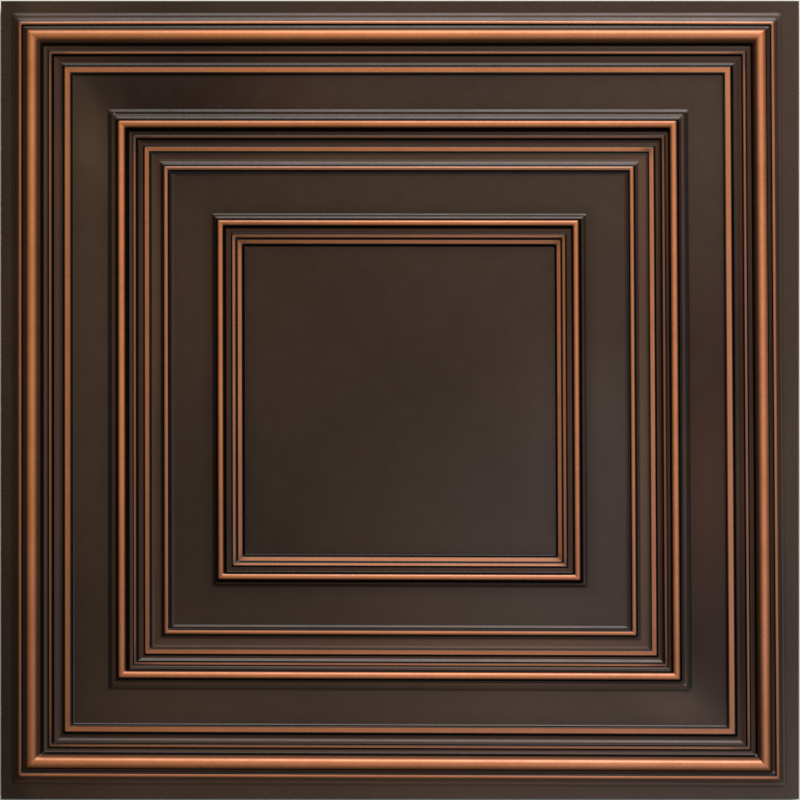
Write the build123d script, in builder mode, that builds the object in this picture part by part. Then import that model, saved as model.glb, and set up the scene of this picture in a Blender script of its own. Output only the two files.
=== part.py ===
from build123d import *
import os
from math import atan2, cos, sin

# Lay-in ceiling tile: one sheet of rigid PVC, vacuum formed into a shallow
# coffer. Square mouldings step down from the flat border to a plain centre
# panel; only the two outermost mouldings stand above the border.
# Millimetres. The tile lies on its back, face up along +Z. The origin is at the
# centre of the tile, on the back of the centre panel, which is its lowest face.

# ---- driving dimensions ----
TILE_SIDE = 603.0        # outside width and length, to drop into a 24 in grid
SHEET = 0.6              # thickness of the sheet, the same all over
BORDER = 9.2             # flat border that bears on the grid's flanges

# Heights of the flats and of the tops of the mouldings, from the border's face.
LIP_TOP = 1.9
BEAD_TOP = 3.6
RIDGE_TOP = -1.0
BAND_TOP = -2.4
FIELD_1 = -4.1           # the first field, between the outer and middle frames
MIDDLE_BEAD_TOP = -0.35
FINE_RIDGE_TOP = -6.0
MIDDLE_BAND_TOP = -7.1
SMALL_BEAD_TOP = -5.15
FIELD_2 = -6.9           # the second field, between the middle and inner frames
INNER_BEAD_TOP = -1.6
LINE_A_TOP = -4.2
LINE_B_TOP = -5.7
CENTRE_PANEL = -8.4

half = TILE_SIDE / 2

# ---- the face's section, from the centre of the tile out to its edge ----
# Each row is a corner of the section: distance from the centre line, height
# from the border's face, and the radius that the corner is formed to.
section = [
    (0.0, CENTRE_PANEL, 0),
    # inner frame: two fine lines, a strip, a bead and its stepped outer slope
    (117.5, CENTRE_PANEL, 1.3),
    (119.2, -6.3, 0.8),
    (122.4, LINE_B_TOP, 0.6),
    (123.9, -4.7, 0.6),
    (126.2, LINE_A_TOP, 0.6),
    (127.2, -5.1, 0.6),
    (130.9, -4.8, 0.9),
    (132.4, INNER_BEAD_TOP, 3.4),
    (137.0, INNER_BEAD_TOP, 3.0),
    (138.3, -5.2, 0.5),
    (139.1, -5.5, 0.4),
    (140.0, -5.7, 0.4),
    (141.2, -6.4, 0.5),
    (142.4, FIELD_2, 0.9),
    # middle frame: small bead, dished strip, flat band, cove, ridge, bead, stepped slope
    (170.9, FIELD_2, 1.0),
    (172.7, -6.3, 0.6),
    (174.2, -6.3, 0.4),
    (175.2, -5.5, 0.5),
    (176.8, SMALL_BEAD_TOP, 2.0),
    (178.4, -5.6, 0.8),
    (179.2, -7.0, 0.4),
    (180.4, -7.2, 0.4),
    (182.0, -7.75, 1.0),
    (184.0, -8.0, 2.0),
    (186.4, -8.0, 1.5),
    (188.2, -7.6, 0.4),
    (188.9, -7.7, 0.3),
    (189.6, MIDDLE_BAND_TOP, 0.5),
    (193.3, MIDDLE_BAND_TOP, 0.7),
    (194.5, -8.3, 0.5),
    (196.2, -8.3, 0.8),
    (198.5, -7.4, 0.6),
    (199.6, -6.1, 0.5),
    (201.4, FINE_RIDGE_TOP, 0.5),
    (202.1, -6.5, 0.4),
    (203.3, -6.1, 0.4),
    (204.6, -6.0, 0.8),
    (206.7, MIDDLE_BEAD_TOP, 3.6),
    (211.5, MIDDLE_BEAD_TOP, 3.0),
    (213.0, -2.5, 0.5),
    (213.8, -2.6, 0.5),
    (215.3, -3.05, 0.5),
    (216.0, -3.1, 0.3),
    (216.8, -3.4, 0.4),
    (218.9, -3.4, 0.5),
    (220.8, FIELD_1, 0.9),
    # outer frame: flat band, groove, cove, ridge, large bead, lip and outer slope
    (245.7, FIELD_1, 1.0),
    (246.9, -3.7, 0.5),
    (247.8, BAND_TOP, 0.8),
    (252.8, BAND_TOP, 0.9),
    (254.2, -4.1, 0.5),
    (256.2, -4.5, 0.9),
    (257.2, -4.4, 0.5),
    (259.2, -3.7, 0.8),
    (260.9, -3.4, 0.5),
    (261.9, RIDGE_TOP, 0.6),
    (264.1, RIDGE_TOP, 0.6),
    (264.9, -1.9, 0.5),
    (266.1, -1.9, 0.6),
    (268.0, -1.45, 0.8),
    (273.6, BEAD_TOP, 5.4),
    (278.6, BEAD_TOP, 5.0),
    (280.7, 1.4, 0.6),
    (283.3, 0.45, 0.5),
    (284.2, 1.75, 0.5),
    (285.3, LIP_TOP, 1.0),
    (289.0, 0.65, 0.5),
    (290.4, 0.5, 0.5),
    (half - BORDER, 0.0, 0.9),
    (half, 0.0, 0),
]


def parallel(rows, depth):
    """The section at a depth below the face, its corners concentric where there is room."""
    points, radii = [], []
    for i, (r, z, radius) in enumerate(rows):
        before, after = rows[max(i - 1, 0)], rows[min(i + 1, len(rows) - 1)]
        a = atan2(z - before[1], r - before[0]) if i > 0 else 0.0
        b = atan2(after[1] - z, after[0] - r) if i < len(rows) - 1 else 0.0
        mid, half_turn = (a + b) / 2, (b - a) / 2
        step = depth / cos(half_turn)
        points.append((r + step * sin(mid), z - step * cos(mid)))
        # a corner that bends up is nearer its centre on the face side
        radii.append(max(radius + (depth if b > a else -depth), 0.1) if radius else 0.0)
    return points, radii[1:-1]


face_points, face_radii = parallel(section, 0.0)
back_points, back_radii = parallel(section, SHEET)

# ---- one quarter: the section run along one side and mitred at both ends ----
lift = SHEET - CENTRE_PANEL  # the back of the centre panel is at Z = 0
with BuildPart() as quarter:
    with BuildSketch(Plane.XZ) as profile:
        with BuildLine():
            FilletPolyline([(x, y + lift) for x, y in face_points], radius=face_radii)
            FilletPolyline([(x, y + lift) for x, y in back_points], radius=back_radii)
            Line((0, CENTRE_PANEL + lift), (0, CENTRE_PANEL + lift - SHEET))
            Line((half, lift), (half, lift - SHEET))
        make_face()
    extrude(amount=half, both=True)
    split(bisect_by=Plane(origin=(0, 0, 0), z_dir=(1, 1, 0)), keep=Keep.TOP)
    split(bisect_by=Plane(origin=(0, 0, 0), z_dir=(1, -1, 0)), keep=Keep.TOP)

# ---- the whole sheet: four quarters meeting at the mitres ----
with BuildPart() as tile_sheet:
    with PolarLocations(0, 4):
        add(quarter.part)

os.makedirs("parts", exist_ok=True)
tile_sheet.part.label = "tile_sheet"
export_step(tile_sheet.part, "parts/tile_sheet.step")

print("solids", len(tile_sheet.part.solids()), "volume mm3", round(tile_sheet.part.volume, 1))
print("mass kg at 1380 kg/m3", round(tile_sheet.part.volume * 1e-9 * 1380, 4))
print("size", tile_sheet.part.bounding_box())
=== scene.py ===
from math import atan2, ceil, cos, exp, hypot, pi, sin, tan

import bpy
import numpy as np
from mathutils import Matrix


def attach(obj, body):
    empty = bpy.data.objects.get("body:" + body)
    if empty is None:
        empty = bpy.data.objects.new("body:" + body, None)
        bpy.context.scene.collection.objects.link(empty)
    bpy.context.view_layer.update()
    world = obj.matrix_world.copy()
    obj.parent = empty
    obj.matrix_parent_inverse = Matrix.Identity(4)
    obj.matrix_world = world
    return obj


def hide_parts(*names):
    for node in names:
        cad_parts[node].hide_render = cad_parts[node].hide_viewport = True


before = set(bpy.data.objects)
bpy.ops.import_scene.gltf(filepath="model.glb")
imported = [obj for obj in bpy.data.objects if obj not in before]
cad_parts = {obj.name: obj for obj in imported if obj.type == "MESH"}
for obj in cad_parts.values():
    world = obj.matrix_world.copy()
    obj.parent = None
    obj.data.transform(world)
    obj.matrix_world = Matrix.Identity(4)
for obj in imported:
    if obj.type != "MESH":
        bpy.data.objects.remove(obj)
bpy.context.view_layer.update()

MM = 0.001
HALF = 301.5
SHEET = 0.6
CENTRE = -8.4
LIFT = SHEET - CENTRE          # height of the border's face above the lowest point

# ---------------------------------------------------------------- the section
# distance from the centre line, height from the border's face, corner radius
SECTION = [
    (0.0, -8.4, 0),
    (117.5, -8.4, 1.3), (119.2, -6.3, 0.8), (122.4, -5.7, 0.6), (123.9, -4.7, 0.6),
    (126.2, -4.2, 0.6), (127.2, -5.1, 0.6), (130.9, -4.8, 0.9), (132.4, -1.6, 3.4),
    (137.0, -1.6, 3.0), (138.3, -5.2, 0.5), (139.1, -5.5, 0.4), (140.0, -5.7, 0.4),
    (141.2, -6.4, 0.5), (142.4, -6.9, 0.9), (170.9, -6.9, 1.0), (172.7, -6.3, 0.6),
    (174.2, -6.3, 0.4), (175.2, -5.5, 0.5), (176.8, -5.15, 2.0), (178.4, -5.6, 0.8),
    (179.2, -7.0, 0.4), (180.4, -7.2, 0.4), (182.0, -7.75, 1.0), (184.0, -8.0, 2.0),
    (186.4, -8.0, 1.5), (188.2, -7.6, 0.4), (188.9, -7.7, 0.3), (189.6, -7.1, 0.5),
    (193.3, -7.1, 0.7), (194.5, -8.3, 0.5), (196.2, -8.3, 0.8), (198.5, -7.4, 0.6),
    (199.6, -6.1, 0.5), (201.4, -6.0, 0.5), (202.1, -6.5, 0.4), (203.3, -6.1, 0.4),
    (204.6, -6.0, 0.8), (206.7, -0.35, 3.6), (211.5, -0.35, 3.0), (213.0, -2.5, 0.5),
    (213.8, -2.6, 0.5), (215.3, -3.05, 0.5), (216.0, -3.1, 0.3), (216.8, -3.4, 0.4),
    (218.9, -3.4, 0.5), (220.8, -4.1, 0.9), (245.7, -4.1, 1.0), (246.9, -3.7, 0.5),
    (247.8, -2.4, 0.8), (252.8, -2.4, 0.9), (254.2, -4.1, 0.5), (256.2, -4.5, 0.9),
    (257.2, -4.4, 0.5), (259.2, -3.7, 0.8), (260.9, -3.4, 0.5), (261.9, -1.0, 0.6),
    (264.1, -1.0, 0.6), (264.9, -1.9, 0.5), (266.1, -1.9, 0.6), (268.0, -1.45, 0.8),
    (273.6, 3.6, 5.4), (278.6, 3.6, 5.0), (280.7, 1.4, 0.6), (283.3, 0.45, 0.5),
    (284.2, 1.75, 0.5), (285.3, 1.9, 1.0), (289.0, 0.65, 0.5), (290.4, 0.5, 0.5),
    (292.3, 0.0, 0.9), (HALF, 0.0, 0),
]

# copper bands: inner edge, outer edge (distance from the centre line), how bright
# the copper is, and how much it fades from the crown towards the band's edges
BANDS = [
    ("line_b", 119.6, 122.2, 0.95, 0.55), ("line_a", 124.1, 125.9, 0.90, 0.60),
    ("bead_3", 132.8, 136.6, 0.95, 0.65), ("small_bead", 175.4, 178.0, 0.90, 0.65),
    ("band_2", 190.0, 193.0, 0.92, 0.40), ("ridge_2", 199.9, 201.4, 0.60, 0.50),
    ("bead_2", 206.6, 211.6, 1.00, 0.65), ("band_1", 248.7, 252.2, 0.97, 0.32),
    ("ridge_1", 262.5, 263.9, 0.60, 0.50), ("bead_1", 270.2, 280.1, 1.00, 0.55),
    ("lip", 284.3, 286.3, 0.85, 0.45),
]


def parallel(rows, depth):
    """The section at a depth below the face."""
    out = []
    for i, (r, z, radius) in enumerate(rows):
        before, after = rows[max(i - 1, 0)], rows[min(i + 1, len(rows) - 1)]
        a = atan2(z - before[1], r - before[0]) if i > 0 else 0.0
        b = atan2(after[1] - z, after[0] - r) if i < len(rows) - 1 else 0.0
        mid, half_turn = (a + b) / 2, (b - a) / 2
        step = depth / cos(half_turn)
        rad = max(radius + (depth if b > a else -depth), 0.1) if radius else 0.0
        out.append((r + step * sin(mid), z - step * cos(mid), rad))
    return out


def rounded(rows, degrees, support):
    """The section as points: arcs at the corners, with a point close to each arc's ends."""
    pts = [(rows[0][0], rows[0][1])]
    ends = []
    for i in range(1, len(rows) - 1):
        (x0, y0), (x1, y1, rad), (x2, y2) = rows[i - 1][:2], rows[i], rows[i + 1][:2]
        a, b = atan2(y1 - y0, x1 - x0), atan2(y2 - y1, x2 - x1)
        turn = b - a
        t = rad * tan(abs(turn) / 2)
        n = max(2, ceil(abs(turn) * 180 / pi / degrees))
        sx, sy = x1 - t * cos(a), y1 - t * sin(a)
        side = 1 if turn > 0 else -1
        cx, cy = sx - side * rad * sin(a), sy + side * rad * cos(a)
        arc = []
        for k in range(n + 1):
            ang = a + turn * k / n
            arc.append((cx + side * rad * sin(ang), cy - side * rad * cos(ang)))
        ends.append(arc)
    for i, arc in enumerate(ends):
        last = pts[-1]
        gap = hypot(arc[0][0] - last[0], arc[0][1] - last[1])
        ux, uy = (arc[0][0] - last[0]) / gap, (arc[0][1] - last[1]) / gap
        if i > 0 and gap > 4.0 * support:
            pts.append((last[0] + ux * support, last[1] + uy * support))
        if gap > 4.0 * support:
            pts.append((arc[0][0] - ux * support, arc[0][1] - uy * support))
        pts.extend(arc)
    last = pts[-1]
    end = rows[-1][:2]
    pts.append((last[0] + support, last[1]))
    pts.append((end[0] - support, end[1]))
    pts.append(end)
    return pts


def insert_at(pts, r):
    """Puts a point at distance r into the section, and leaves out points closer than 0.05 mm."""
    out, done = [], False
    for i, p in enumerate(pts):
        if not done and i > 0 and pts[i - 1][0] < r <= p[0]:
            q = pts[i - 1]
            f = (r - q[0]) / (p[0] - q[0])
            if abs(p[0] - r) < 0.05:
                out.append((r, p[1]))
                done = True
                continue
            if abs(r - q[0]) < 0.05 and len(out) > 1:
                out[-1] = (r, q[1])
            else:
                out.append((r, q[1] + f * (p[1] - q[1])))
            done = True
        out.append(p)
    return out


face = rounded(SECTION, 13.0, 0.30)
for band in BANDS:
    face = insert_at(face, band[1])
    face = insert_at(face, band[2])
for r in (25.0, 55.0, 85.0, 105.0, 114.0, 143.5, 150.0, 157.0, 164.0, 170.5,
          222.0, 228.0, 233.0, 238.0, 244.0, 297.0):
    face = insert_at(face, r)
back = rounded(parallel(SECTION, SHEET), 40.0, 0.80)
for r in (40.0, 85.0, 114.0, 150.0, 164.0, 228.0, 238.0):
    back = insert_at(back, r)

# ---------------------------------------------------------------- rings
SIDE_SEGS, ARC_SEGS = 28, 6
PER_SIDE = SIDE_SEGS + ARC_SEGS
RING = 4 * PER_SIDE


def lerp(x, xs, ys):
    return float(np.interp(x, xs, ys))


def corner_radius(r):
    return lerp(r, [0, 30, 118, 128, 140, 178, 187, 206, 212, 220, 246, 253, 262, 270, 280, 284, 292, 299, 301.5],
                [0.3, 1.2, 1.4, 0.9, 0.9, 1.0, 0.8, 0.8, 1.3, 2.2, 0.9, 0.5, 0.9, 0.9, 1.1, 1.2, 3.0, 2.4, 0.5])


def ring_points(r):
    """RING points around a square of half-side r with small rounded corners, from the middle
    of the mitre at +X -Y, anticlockwise: half an arc, the +X side, an arc, the +Y side..."""
    rho = min(corner_radius(r), 0.45 * r)
    pts = []
    for q in range(4):
        ang = q * pi / 2
        local = []
        half_arc = ARC_SEGS // 2
        for k in range(half_arc):      # second half of the arc at the corner (+r, -r)
            a = -pi / 4 + (pi / 4) * k / half_arc
            local.append((r - rho + rho * cos(a), -(r - rho) + rho * sin(a)))
        for k in range(SIDE_SEGS + 1):
            u = -1 + 2 * k / SIDE_SEGS
            t = 1.38 * u - 0.38 * u ** 3
            local.append((r, t * (r - rho)))
        for k in range(1, half_arc):
            a = (pi / 4) * k / half_arc
            local.append((r - rho + rho * cos(a), (r - rho) + rho * sin(a)))
        c, s = cos(ang), sin(ang)
        pts += [(x * c - y * s, x * s + y * c) for x, y in local]
    return pts


def wave(x, y, seed, size):
    """A smooth small-scale wander between -1 and 1, made of a few sines."""
    a = sin(x / size + 1.7 * seed) * cos(y / size * 0.83 - 2.1 * seed)
    b = sin(x / size * 0.37 - y / size * 0.61 + 0.9 * seed)
    c = cos(x / size * 1.61 + y / size * 1.27 + 3.3 * seed)
    return (a + b + 0.5 * c) / 2.5


def placed(x, y, z):
    """Where a point of the ideal section goes on the real, slightly uneven sheet."""
    r = max(abs(x), abs(y))
    free = min(1.0, max(0.0, (HALF - r) / 9.0))          # nothing moves at the trimmed edge
    # trimmed a little off centre, and the deeper mouldings sit further over
    dx = (-1.50 - 0.205 * z - 0.0037 * y - 0.000013 * x * y) * free
    draw = lerp(r, [0, 110, 118, 140, 190, 210, 276, 284, 292, 301.5],
                [0, 0.45, 0.70, 0.75, 0.95, 0.75, 0.75, 0.45, 0.2, 0.0])
    if y > 0 and 276 < r < 292:
        draw += (0.25 + 0.55 * (x / 290.0) ** 2) * smooth(279.0, 284.0, r) * (1 - smooth(287.0, 292.0, r))
    dy = (0.38 + 0.125 * z - 0.0020 * x + 0.0000075 * x * y) * free - draw * y / max(r, 1.0)
    # the flats are a little bowed, as thin formed sheet is
    bow = 0.0
    if r < 119.3:
        bow = 0.28 * (r / 117) ** 2 if r < 117 else 0.28 * (119.3 - r) / 2.3
        bow += 0.05 * (1 + wave(x, y, 3, 60)) * max(0.0, 1 - (r / 117) ** 4) if r < 117 else 0.0
    elif 142 < r < 172.5:
        bow = 0.07 * sin(pi * (r - 142) / 30.5) + 0.05 * wave(x, y, 5, 45) * sin(pi * (r - 142) / 30.5)
    elif 220 < r < 245.5:
        bow = 0.06 * sin(pi * (r - 220) / 25.5) + 0.05 * wave(x, y, 7, 45) * sin(pi * (r - 220) / 25.5)
    return (x + dx, y + dy, z + bow)


def side_of(x, y):
    """Which side of the tile a place is on: 0 is +Y, 1 is -Y, 2 is -X, 3 is +X."""
    if abs(y) > abs(x):
        return 0 if y > 0 else 1
    return 2 if x < 0 else 3


# how much copper each side's mouldings kept, with painted light making it brighter on the sides whose faces turn
# to the light (mostly -Y), in the order +Y, -Y, -X, +X
COPPER_KEPT_AND_LIT = {
    "lip": (0.80, 1.00, 0.62, 0.78), "bead_1": (0.92, 1.00, 0.95, 1.00),
    "ridge_1": (1.00, 1.00, 0.72, 0.72), "band_1": (0.98, 0.95, 0.90, 1.00),
    "bead_2": (0.95, 1.00, 0.95, 0.95), "ridge_2": (0.30, 1.00, 0.70, 0.42),
    "band_2": (0.90, 1.00, 0.90, 1.00), "small_bead": (0.62, 1.00, 0.88, 0.95),
    "bead_3": (0.90, 1.00, 0.95, 0.92), "line_a": (0.95, 0.80, 0.80, 0.95),
    "line_b": (1.00, 1.00, 0.98, 1.00),
}


# where along a side (-1 to 1, along +X or +Y) the copper is thinner
ALONG = {
    0: ([-1.0, -0.6, 0.0, 0.6, 1.0], [0.70, 0.86, 1.0, 1.0, 0.95]),
    1: ([-1.0, -0.6, 0.0, 0.6, 1.0], [0.80, 0.92, 1.0, 1.0, 1.0]),
    2: ([-1.0, -0.6, 0.0, 0.6, 1.0], [0.62, 0.74, 1.0, 1.0, 0.92]),
    3: ([-1.0, -0.6, 0.0, 0.6, 1.0], [0.78, 0.92, 1.0, 1.0, 0.95]),
}


def copper_wear_and_light(name, x, y):
    """How much of a band's copper shows at a place, 0 to 1: worn copper, and painted light by side."""
    side = side_of(x, y)
    r = max(abs(x), abs(y), 1.0)
    w = COPPER_KEPT_AND_LIT[name][side] * lerp((x if side < 2 else y) / r, *ALONG[side])
    near = abs(abs(x) - abs(y))                 # distance along the band from its mitre
    if name in ("ridge_1", "ridge_2"):
        w *= 0.35 + 0.65 * smooth(2, 22, near)
    if name == "line_b" or name == "line_a":
        w *= 0.6 + 0.4 * smooth(0, 8, near)
    if name == "lip":
        w *= 0.75 + 0.25 * smooth(0, 14, near)
    if name == "band_2":                        # rubbed off at one corner
        w *= 1 - 0.85 * exp(-((x - 189) ** 2 + (y - 190) ** 2) / 18.0)
    w *= 1.0 - 0.12 * max(0.0, wave(x, y, 11, 70))
    return w


def hump(lo, hi, edge, v):
    """1 between lo and hi, falling off to 0 over the given edge."""
    return smooth(lo - edge, lo, v) * (1 - smooth(hi, hi + edge, v))


# where dark glaze and painted shade lie in the grooves: inner and outer distance, amount, then how much
# of it there is on each side, following how the light falls on that side's faces, in the order +Y, -Y, -X, +X
GLAZE_AND_SHADE_STRIPS = [
    (138.0, 140.9, 0.85, (0.3, 0.4, 1.0, 0.6)), (172.8, 175.2, 0.95, (1.0, 0.5, 1.0, 0.9)),
    (178.6, 181.0, 0.90, (0.6, 0.8, 1.0, 0.8)), (188.0, 189.5, 0.90, (1.0, 0.3, 1.0, 0.9)),
    (197.9, 199.4, 0.90, (1.0, 0.3, 1.0, 0.9)), (212.0, 214.1, 0.95, (0.6, 0.8, 1.0, 1.0)),
    (217.1, 219.7, 0.92, (0.3, 0.5, 1.0, 0.95)), (281.2, 283.6, 0.60, (0.2, 0.2, 0.8, 0.9)),
    (287.0, 289.0, 0.60, (0.0, 0.1, 0.9, 0.9)), (289.0, 291.6, 0.50, (0.0, 0.0, 0.9, 0.4)),
]


# glaze and painted shade in the grooves at a place, 0 to 1
def glaze_and_shade_at(r, x, y):
    side = side_of(x, y)
    return max([0.0] + [p[2] * p[3][side] * hump(p[0], p[1], 0.35, r) for p in GLAZE_AND_SHADE_STRIPS])


# lighter and darker patches in the base colour, each with
# its centre, its spread and how much lighter or darker it is
PATCHES = [
    (-25.0, -10.0, 100.0, -0.32), (112.0, 10.0, 34.0, 0.16), (-110.0, -110.0, 45.0, -0.36), (-100.0, 100.0, 50.0, -0.13),
    (-240.0, -205.0, 80.0, -0.42), (-168.0, -30.0, 48.0, -0.20), (-165.0, 238.0, 60.0, -0.62),
    (30.0, 240.0, 45.0, -0.22), (-236.0, 185.0, 24.0, 0.40), (238.0, -180.0, 50.0, -0.50),
    (238.0, 25.0, 45.0, -0.26), (225.0, 200.0, 48.0, 0.20), (110.0, -236.0, 90.0, 0.30),
    (212.0, -226.0, 16.0, 0.40), (-290.0, -290.0, 55.0, -0.15), (158.0, 0.0, 40.0, 0.16),
    (-190.0, -240.0, 40.0, 0.35),
]


def tone_and_light(r, x, y):
    """How much lighter or darker the base colour is drawn at a place: painted shade along the -X edge, painted
    sheen along the +X edge, listed patches, set factors by side on one strip, and a painted reflection folded
    over two mitres.
    """
    # painted shade on the -X edge and painted sheen on the +X edge
    v = lerp(x, [-301, -287, -278, 278, 290, 301], [0.58, 0.63, 1.0, 1.0, 1.1, 1.12])
    for px, py, spread, amount in PATCHES:
        v *= 1.0 + amount * exp(-((x - px) ** 2 + (y - py) ** 2) / (2 * spread * spread))
    if 178 < r < 189:
        v *= (1.25, 1.55, 1.30, 1.50)[side_of(x, y)]
    if 219 < r < 247 and x * y < 0:             # painted reflection: a soft fold of light and dark over two of the mitres
        turn = 2 * smooth(-14, 14, abs(x) - abs(y)) - 1
        v *= 1 + (0.28 if x < 0 else -0.20) * turn * hump(0, 40, 30, abs(abs(x) - abs(y)))
    return v


# where the first field's base colour is drawn a redder, darker brown: side, centre, spread, amount
WARM = [(3, 238.0, -70.0, 100.0, 1.0), (3, 238.0, -200.0, 60.0, 0.6), (3, 238.0, 60.0, 50.0, 0.3),
        (0, -165.0, 238.0, 70.0, 1.1)]


# painted sheen: where the centre panel and the second field are drawn a cooler, purpler grey, as a reflection of
# bluish light (negative), and where they are a little warmer: centre, spread, amount
COOL_SHEEN_AND_WARMTH = [(105.0, -95.0, 65.0, -1.0), (165.0, -20.0, 40.0, -0.7), (150.0, -160.0, 35.0, -0.2),
        (-105.0, 100.0, 55.0, 0.40)]


def warmth_and_sheen(r, x, y):
    if r < 174:
        total = sum(c[3] * exp(-((x - c[0]) ** 2 + (y - c[1]) ** 2) / (2 * c[2] * c[2])) for c in COOL_SHEEN_AND_WARMTH)
        return max(-1.0, total)
    if not 219 < r < 247:
        return 0.0
    total = sum(w[4] * exp(-((x - w[1]) ** 2 + (y - w[2]) ** 2) / (2 * w[3] * w[3]))
                for w in WARM if w[0] == side_of(x, y))
    return min(1.0, total) * smooth(0, 34, abs(abs(x) - abs(y)))


# strips that caught a little of the copper's overspray: inner, outer distance, amount
HAZE = [(127.0, 131.6, 0.35), (180.8, 188.0, 0.16), (194.0, 198.2, 0.34), (202.0, 205.8, 0.45),
        (139.0, 141.0, 0.12), (255.0, 260.8, 0.32), (264.6, 268.6, 0.30), (214.2, 216.8, 0.12),
        (287.0, 290.5, 0.10), (280.4, 282.6, 0.12)]


def overspray(r, x, y):
    return max([0.0] + [h[2] * hump(h[0], h[1], 0.4, r) for h in HAZE])


def sheltered(profile):
    """For each point of the section, how far the mouldings beside it close it in (0 to 1),
    and how steep the face is there (0 flat, 1 upright)."""
    rs = np.array([p[0] for p in profile])
    zs = np.array([p[1] for p in profile])
    out = []
    reach = np.array([0.3, 0.6, 0.9, 1.3, 1.8, 2.4, 3.2, 4.2, 5.5, 7.5, 10.0])
    for i, (r, z) in enumerate(profile):
        total = 0.0
        for side in (-1, 1):
            zz = np.interp(r + side * reach, rs, zs)
            rise = np.max((zz - z) / reach)
            total += max(0.0, rise) / (1.0 + max(0.0, rise) ** 2) ** 0.5
        j, k = max(i - 1, 0), min(i + 1, len(profile) - 1)
        slope = abs(atan2(zs[k] - zs[j], max(rs[k] - rs[j], 1e-6))) * 180 / pi
        out.append((total / 2, min(1.0, slope / 90.0)))
    return out


def smooth(lo, hi, v):
    f = min(1.0, max(0.0, (v - lo) / (hi - lo)))
    return f * f * (3 - 2 * f)


def build_tile():
    verts, faces, slots = [], [], []
    glaze_and_shade, copper_and_light, base_tone_and_light, haze, warm = [], [], [], [], []

    def band_at(r):
        for k, b in enumerate(BANDS):
            if b[1] - 1e-6 <= r <= b[2] + 1e-6:
                return k
        return None

    def copper_strength(r, x, y, steep):
        k = band_at(r)
        if k is None:
            return 0.0
        name, lo, hi, strength, fade = BANDS[k]
        across = abs(2 * (r - lo) / (hi - lo) - 1)
        if name == "bead_1" and side_of(x, y) == 3:
            fade += 0.45 * smooth(60, 260, -y)
        s = strength * (1 - fade * across ** 2.2)
        if name == "bead_1":
            # painted shade: the copper darkens down the inner flank, least on the -Y side, whose flank faces the
            # light
            side = side_of(x, y)
            lost = (0.85, 0.50, 1.0, 0.95)[side]
            s *= 1 - lost * (1 - smooth((270.2, 270.2, 270.2, 271.0)[side],
                                        (274.6, 274.6, 276.6, 276.8)[side], r))
        # painted shade: steep faces lose most of their copper colour
        return s * copper_wear_and_light(name, x, y) * (1 - 0.75 * smooth(0.28, 0.62, steep))

    def add_rings(profile, flip):
        base = len(verts)
        close = sheltered(profile)
        for i, (r, z) in enumerate(profile):
            if i == 0:
                continue
            shut, steep = close[i]
            # dark glaze and painted shade: the more the mouldings close a face in, and the steeper it is, the
            # nearer to black it is drawn
            crevice_shade = min(1.0, 1.8 * shut ** 1.6 + 0.9 * smooth(0.22, 0.48, steep))
            for x, y in ring_points(r):
                px, py, pz = placed(x, y, z)
                verts.append((px * MM, py * MM, (pz + LIFT) * MM))
                glaze_and_shade.append(0.0 if flip else max(crevice_shade, glaze_and_shade_at(r, x, y)))
                copper_and_light.append(0.0 if flip else copper_strength(r, x, y, steep))
                base_tone_and_light.append(1.0 if flip else tone_and_light(r, x, y))
                haze.append(0.0 if flip else overspray(r, x, y))
                warm.append(0.0 if flip else warmth_and_sheen(r, x, y))
        cx, cy, cz = placed(0, 0, profile[0][1])
        verts.append((cx * MM, cy * MM, (cz + LIFT) * MM))
        glaze_and_shade.append(0.0)
        copper_and_light.append(0.0)
        base_tone_and_light.append(1.0 if flip else tone_and_light(0.0, 0.0, 0.0))
        haze.append(0.0)
        warm.append(0.0)
        middle = len(verts) - 1
        for k in range(RING):
            k2 = (k + 1) % RING
            faces.append((middle, base + k, base + k2) if not flip else (middle, base + k2, base + k))
            slots.append(0)
        for i in range(1, len(profile) - 1):
            mid = (profile[i][0] + profile[i + 1][0]) / 2
            slot = 1 if (not flip and band_at(mid) is not None) else 0
            a, b = base + (i - 1) * RING, base + i * RING
            for k in range(RING):
                k2 = (k + 1) % RING
                quad = (a + k, b + k, b + k2, a + k2)
                faces.append(quad if not flip else quad[::-1])
                slots.append(slot)
        return base + (len(profile) - 2) * RING

    outer_face = add_rings(face, False)
    outer_back = add_rings(back, True)
    for k in range(RING):
        k2 = (k + 1) % RING
        faces.append((outer_face + k, outer_back + k, outer_back + k2, outer_face + k2))
        slots.append(0)

    me = bpy.data.meshes.new("formed_sheet")
    me.from_pydata(verts, [], faces)
    me.polygons.foreach_set("material_index", slots)
    me.polygons.foreach_set("use_smooth", [True] * len(faces))
    for name, values in (("glaze_and_shade", glaze_and_shade), ("copper_and_light", copper_and_light), ("tone_and_light", base_tone_and_light), ("haze", haze), ("warm", warm)):
        me.attributes.new(name, "FLOAT", "POINT").data.foreach_set("value", values)
    me.update()
    ob = bpy.data.objects.new("formed_sheet", me)
    bpy.context.scene.collection.objects.link(ob)
    # the trimmed rim is a crisp edge
    rim = set(range(outer_face, outer_face + RING)) | set(range(outer_back, outer_back + RING))
    for e in me.edges:
        if e.vertices[0] in rim and e.vertices[1] in rim:
            e.use_edge_sharp = True
    return ob


sheet = build_tile()


# ---------------------------------------------------------------- materials
def noise(nt, coord, scale, detail=3.0, rough=0.55):
    n = nt.nodes.new("ShaderNodeTexNoise")
    n.inputs["Scale"].default_value = scale
    n.inputs["Detail"].default_value = detail
    n.inputs["Roughness"].default_value = rough
    nt.links.new(coord, n.inputs["Vector"])
    return n.outputs["Fac"]


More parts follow.
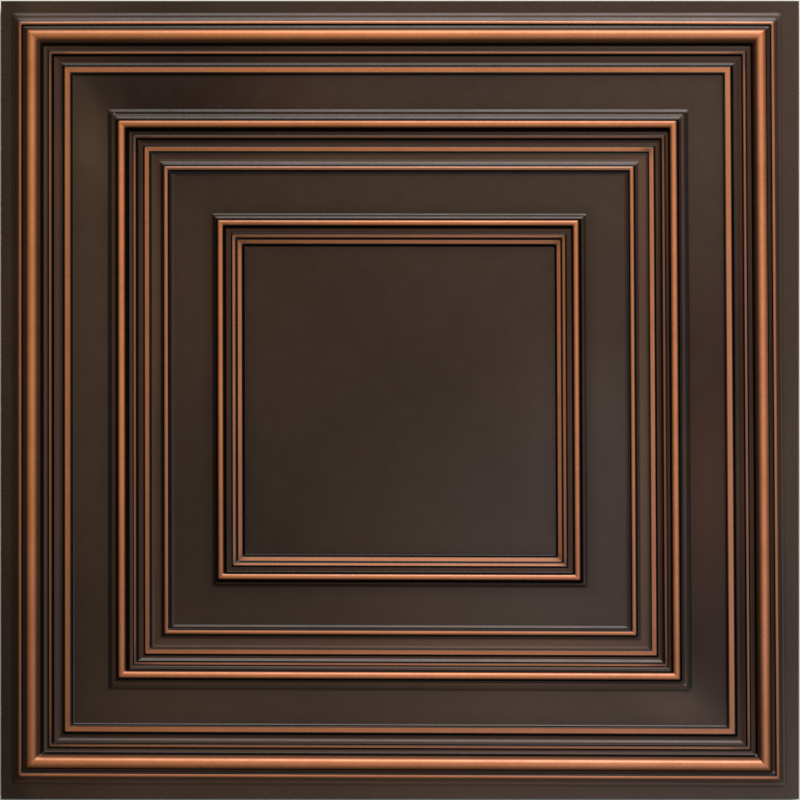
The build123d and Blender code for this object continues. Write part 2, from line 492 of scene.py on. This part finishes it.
def ramp(nt, fac, stops):
    n = nt.nodes.new("ShaderNodeValToRGB")
    cr = n.color_ramp
    while len(cr.elements) > 1:
        cr.elements.remove(cr.elements[-1])
    cr.elements[0].position = stops[0][0]
    cr.elements[0].color = stops[0][1]
    for pos, col in stops[1:]:
        e = cr.elements.new(pos)
        e.color = col
    nt.links.new(fac, n.inputs["Fac"])
    return n.outputs["Color"]


def mix(nt, fac, a, b, mode="MIX"):
    n = nt.nodes.new("ShaderNodeMix")
    n.data_type = "RGBA"
    n.blend_type = mode
    for sock, val in ((n.inputs[0], fac), (n.inputs[6], a), (n.inputs[7], b)):
        if isinstance(val, (int, float)):
            sock.default_value = val
        elif isinstance(val, tuple):
            sock.default_value = val
        else:
            nt.links.new(val, sock)
    return n.outputs[2]


def remap(nt, val, lo, hi, a, b):
    n = nt.nodes.new("ShaderNodeMapRange")
    n.inputs["From Min"].default_value = lo
    n.inputs["From Max"].default_value = hi
    n.inputs["To Min"].default_value = a
    n.inputs["To Max"].default_value = b
    nt.links.new(val, n.inputs["Value"])
    return n.outputs["Result"]


def material(name):
    m = bpy.data.materials.new(name)
    m.use_nodes = True
    nt = m.node_tree
    nt.nodes.clear()
    out = nt.nodes.new("ShaderNodeOutputMaterial")
    bsdf = nt.nodes.new("ShaderNodeBsdfPrincipled")
    nt.links.new(bsdf.outputs["BSDF"], out.inputs["Surface"])
    tc = nt.nodes.new("ShaderNodeTexCoord")
    return m, nt, bsdf, tc.outputs["Object"]


def attribute(nt, name):
    n = nt.nodes.new("ShaderNodeAttribute")
    n.attribute_type = "GEOMETRY"
    n.attribute_name = name
    return n.outputs["Fac"]


def drift(nt, obj, warm, cool):
    """A tint that goes slowly from one corner of the tile to the opposite one."""
    dot = nt.nodes.new("ShaderNodeVectorMath")
    dot.operation = "DOT_PRODUCT"
    nt.links.new(obj, dot.inputs[0])
    dot.inputs[1].default_value = (1.0, -0.7, 0.0)
    return mix(nt, remap(nt, dot.outputs["Value"], -0.30, 0.34, 0.0, 1.0), warm, cool)


def surface_bump(nt, bsdf, obj, strength):
    peel = noise(nt, obj, 700.0, 2.0, 0.5)
    waves = noise(nt, obj, 30.0, 2.0, 0.5)
    add = nt.nodes.new("ShaderNodeMath")
    add.operation = "MULTIPLY_ADD"
    nt.links.new(waves, add.inputs[0])
    add.inputs[1].default_value = 3.0
    nt.links.new(peel, add.inputs[2])
    bump = nt.nodes.new("ShaderNodeBump")
    bump.inputs["Strength"].default_value = strength
    bump.inputs["Distance"].default_value = 0.0001
    nt.links.new(add.outputs[0], bump.inputs["Height"])
    nt.links.new(bump.outputs["Normal"], bsdf.inputs["Normal"])


DARK_LO, DARK_HI = (0.0455, 0.0268, 0.0152, 1), (0.0550, 0.0326, 0.0190, 1)
# near-black colour of the glaze and painted shade in the grooves
GROOVE_GLAZE_AND_SHADE = (0.0024, 0.0012, 0.0006, 1)
OVERSPRAY = (0.190, 0.074, 0.034, 1)


def dark_colour(nt, obj):
    broad = noise(nt, obj, 6.0, 4.0, 0.6)
    col = ramp(nt, broad, [(0.30, DARK_LO), (0.70, DARK_HI)])
    fine = noise(nt, obj, 520.0, 2.0, 0.6)
    speck = ramp(nt, fine, [(0.30, (0.93, 0.93, 0.93, 1)), (0.70, (1.07, 1.07, 1.07, 1))])
    return mix(nt, 1.0, col, speck, "MULTIPLY")


# small nicks at the mouldings' corners, where the light primer shows: place and size, mm
NICKS = [(-216.2, 216.8, 0.9), (215.6, -215.6, 0.7), (269.3, -268.6, 1.2), (282.4, -281.4, 1.0)]


def nicks(nt, obj):
    total = None
    for x, y, size in NICKS:
        flat = nt.nodes.new("ShaderNodeVectorMath")
        flat.operation = "MULTIPLY"
        nt.links.new(obj, flat.inputs[0])
        flat.inputs[1].default_value = (1.0, 0.8, 0.0)
        far = nt.nodes.new("ShaderNodeVectorMath")
        far.operation = "DISTANCE"
        nt.links.new(flat.outputs[0], far.inputs[0])
        far.inputs[1].default_value = (x * MM, 0.8 * y * MM, 0.0)
        spot = remap(nt, far.outputs["Value"], 0.3 * size * MM, size * MM, 1.0, 0.0)
        if total is None:
            total = spot
        else:
            top = nt.nodes.new("ShaderNodeMath")
            top.operation = "MAXIMUM"
            nt.links.new(total, top.inputs[0])
            nt.links.new(spot, top.inputs[1])
            total = top.outputs[0]
    return total


def bronze():
    m, nt, bsdf, obj = material("bronzed_pvc_base")
    col = mix(nt, attribute(nt, "haze"), dark_colour(nt, obj), OVERSPRAY)
    # listed patches, painted shade and sheen at the edges, and a painted reflection at two mitres
    col = mix(nt, 1.0, col, attribute(nt, "tone_and_light"), "MULTIPLY")
    col = mix(nt, 1.0, col, drift(nt, obj, (1.03, 0.98, 0.88, 1), (0.97, 1.02, 1.20, 1)), "MULTIPLY")
    warm = mix(nt, attribute(nt, "warm"), (1.0, 1.0, 1.0, 1), (0.96, 0.64, 0.46, 1))
    col = mix(nt, 1.0, col, warm, "MULTIPLY")
    # painted reflection: a cooler, purpler sheen where the attribute is negative
    cool = remap(nt, attribute(nt, "warm"), 0.0, -1.0, 0.0, 1.0)
    col = mix(nt, 1.0, col, mix(nt, cool, (1.0, 1.0, 1.0, 1), (1.02, 1.11, 1.42, 1)), "MULTIPLY")
    # dark glaze and painted shade in the grooves and on steep faces
    col = mix(nt, attribute(nt, "glaze_and_shade"), col, GROOVE_GLAZE_AND_SHADE)
    col = mix(nt, nicks(nt, obj), col, (0.15, 0.15, 0.155, 1))
    nt.links.new(col, bsdf.inputs["Base Color"])
    nt.links.new(remap(nt, noise(nt, obj, 55.0, 4.0, 0.6), 0.3, 0.7, 0.32, 0.38), bsdf.inputs["Roughness"])
    bsdf.inputs["Metallic"].default_value = 0.0
    bsdf.inputs["Specular IOR Level"].default_value = 0.26
    surface_bump(nt, bsdf, obj, 0.22)
    return m


def copper():
    m, nt, bsdf, obj = material("copper_paint")
    broad = noise(nt, obj, 22.0, 4.0, 0.6)
    col = ramp(nt, broad, [(0.30, (0.59, 0.203, 0.067, 1)), (0.70, (0.67, 0.246, 0.092, 1))])
    fine = noise(nt, obj, 420.0, 2.0, 0.6)
    speck = ramp(nt, fine, [(0.30, (0.90, 0.90, 0.90, 1)), (0.70, (1.06, 1.06, 1.06, 1))])
    col = mix(nt, 1.0, col, speck, "MULTIPLY")
    col = mix(nt, 1.0, col, drift(nt, obj, (1.0, 0.96, 0.74, 1), (1.0, 1.01, 1.16, 1)), "MULTIPLY")
    # dark brown where the copper is thin, and where painted shade darkens steep faces and flanks turned from the
    # light
    col = mix(nt, attribute(nt, "copper_and_light"), (0.055, 0.019, 0.005, 1), col)
    nt.links.new(col, bsdf.inputs["Base Color"])
    nt.links.new(remap(nt, noise(nt, obj, 90.0, 4.0, 0.6), 0.3, 0.7, 0.50, 0.58), bsdf.inputs["Roughness"])
    bsdf.inputs["Metallic"].default_value = 0.6
    bsdf.inputs["Coat Weight"].default_value = 0.60
    bsdf.inputs["Coat Roughness"].default_value = 0.33
    surface_bump(nt, bsdf, obj, 0.22)
    return m


sheet.data.materials.append(bronze())
sheet.data.materials.append(copper())

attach(sheet, "root")
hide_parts("tile_sheet")

# ---------------------------------------------------------------- floor, light, camera
me = bpy.data.meshes.new("floor")
me.from_pydata([(-6, -6, 0), (6, -6, 0), (6, 6, 0), (-6, 6, 0)], [], [(0, 1, 2, 3)])
floor = bpy.data.objects.new("floor", me)
bpy.context.scene.collection.objects.link(floor)
fm, fnt, fb, fobj = material("pale_floor")
fnt.links.new(ramp(fnt, noise(fnt, fobj, 3.0, 3.0, 0.5), [(0.3, (0.80, 0.80, 0.79, 1)), (0.7, (0.84, 0.84, 0.83, 1))]), fb.inputs["Base Color"])
fb.inputs["Roughness"].default_value = 0.7
me.materials.append(fm)

scene = bpy.context.scene
scene.view_settings.view_transform = "Standard"

world = bpy.data.worlds.new("studio")
scene.world = world
world.use_nodes = True
world.node_tree.nodes["Background"].inputs["Color"].default_value = (0.95, 0.97, 1.0, 1)
world.node_tree.nodes["Background"].inputs["Strength"].default_value = 0.05


def area(name, loc, target, size_x, size_y, power, color=(1, 1, 1)):
    light = bpy.data.lights.new(name, "AREA")
    light.shape = "RECTANGLE"
    light.size, light.size_y = size_x, size_y
    light.energy = power
    light.color = color
    ob = bpy.data.objects.new(name, light)
    ob.location = loc
    d = [t - l for t, l in zip(target, loc)]
    from mathutils import Vector
    ob.rotation_euler = Vector(d).to_track_quat("-Z", "Y").to_euler()
    scene.collection.objects.link(ob)
    return ob


area("key", (0.80, 3.30, 3.90), (0, 0, 0), 3.0, 2.0, 300.0, (1.0, 0.945, 0.925))
area("fill", (1.30, -1.20, 3.60), (0, 0, 0), 1.8, 1.8, 26.0, (0.86, 0.90, 1.0))

cam = bpy.data.cameras.new("camera")
DIST = 3.0
cam.sensor_fit = "HORIZONTAL"
cam.sensor_width = 36.0
cam.lens = 36.0 * DIST / (0.603 * 800 / 798)
cam_ob = bpy.data.objects.new("camera", cam)
cam_ob.location = (0, 0, DIST + LIFT * MM)
cam_ob.rotation_euler = (0, 0, 0)
scene.collection.objects.link(cam_ob)
scene.camera = cam_ob
